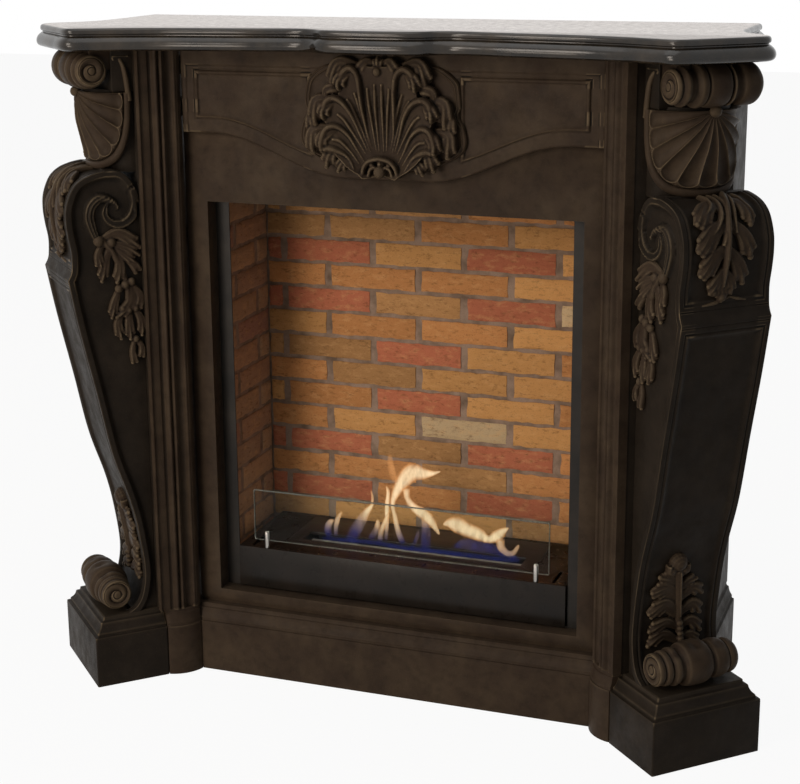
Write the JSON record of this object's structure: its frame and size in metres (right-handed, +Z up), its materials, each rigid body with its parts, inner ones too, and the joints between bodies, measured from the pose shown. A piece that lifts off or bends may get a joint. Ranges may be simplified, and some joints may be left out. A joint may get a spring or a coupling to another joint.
{
  "type": "scroll-console fireplace with spirit burner",
  "caption": "Dark carved mantelpiece with canted scroll consoles, shell ornaments and a moulded shelf, round a brick-lined firebox with a spirit burner and glass screen.",
  "frame": {"origin": "middle of the footprint, on the floor", "axes": "+X across the mantelpiece to its right, seen from the room, -Y out of its face into the room, +Y towards the wall, +Z up"},
  "size_m": [1.2516, 0.4044, 1.12],
  "materials": {
    "dark_casting": "waxed dark brown-black casting",
    "polished_slab": "polished black",
    "black_steel": "matt black",
    "bare_steel": "zinc plated",
    "bright_steel": "brushed",
    "brick": "matt brick face",
    "glass": "clear",
    "wick": "soft fibre"
  },
  "bodies": {
    "surround": {"mantel_shelf": "polished_slab", "frieze": "dark_casting", "shell_cartouche": "dark_casting", "inner_frame": "dark_casting", "plinth_rail": "dark_casting", "left_pilaster": "dark_casting", "right_pilaster": "dark_casting", "left_pilaster_base": "dark_casting", "right_pilaster_base": "dark_casting", "left_plinth_block": "dark_casting", "right_plinth_block": "dark_casting", "left_console": "dark_casting", "right_console": "dark_casting", "left_capital_scroll": "dark_casting", "right_capital_scroll": "dark_casting", "left_capital_shell": "dark_casting", "right_capital_shell": "dark_casting", "left_knee_leaf": "dark_casting", "right_knee_leaf": "dark_casting", "left_side_garland": "dark_casting", "right_side_garland": "dark_casting", "left_palmette": "dark_casting", "right_palmette": "dark_casting", "left_foot_scroll": "dark_casting", "right_foot_scroll": "dark_casting", "left_side_return": "dark_casting", "right_side_return": "dark_casting", "left_return_plinth": "dark_casting", "right_return_plinth": "dark_casting", "corner_cleats": "bare_steel", "cleat_bolts": "bare_steel", "firebox_shell": "black_steel", "firebox_flange": "black_steel", "firebox_stand": "black_steel", "brick_back": "brick", "brick_left": "brick", "brick_right": "brick", "burner_box": "black_steel", "glass_pins": "bright_steel"},
    "insert": {"burner_tank": "bright_steel", "burner_wick": "wick"},
    "lid": {"burner_lid": "bright_steel"},
    "screen": {"glass_screen": "glass"}
  },
  "joints": [
    {"name": "insert_lift", "type": "slide", "parent": "surround", "child": "insert", "axis": [0, 0, 1], "range_m": [0, 0.09]},
    {"name": "lid_slide", "type": "slide", "parent": "insert", "child": "lid", "axis": [0, -1, 0], "range_m": [0, 0.048]},
    {"name": "glass_lift", "type": "slide", "parent": "surround", "child": "screen", "axis": [0, 0, 1], "range_m": [0, 0.12]}
  ]
}
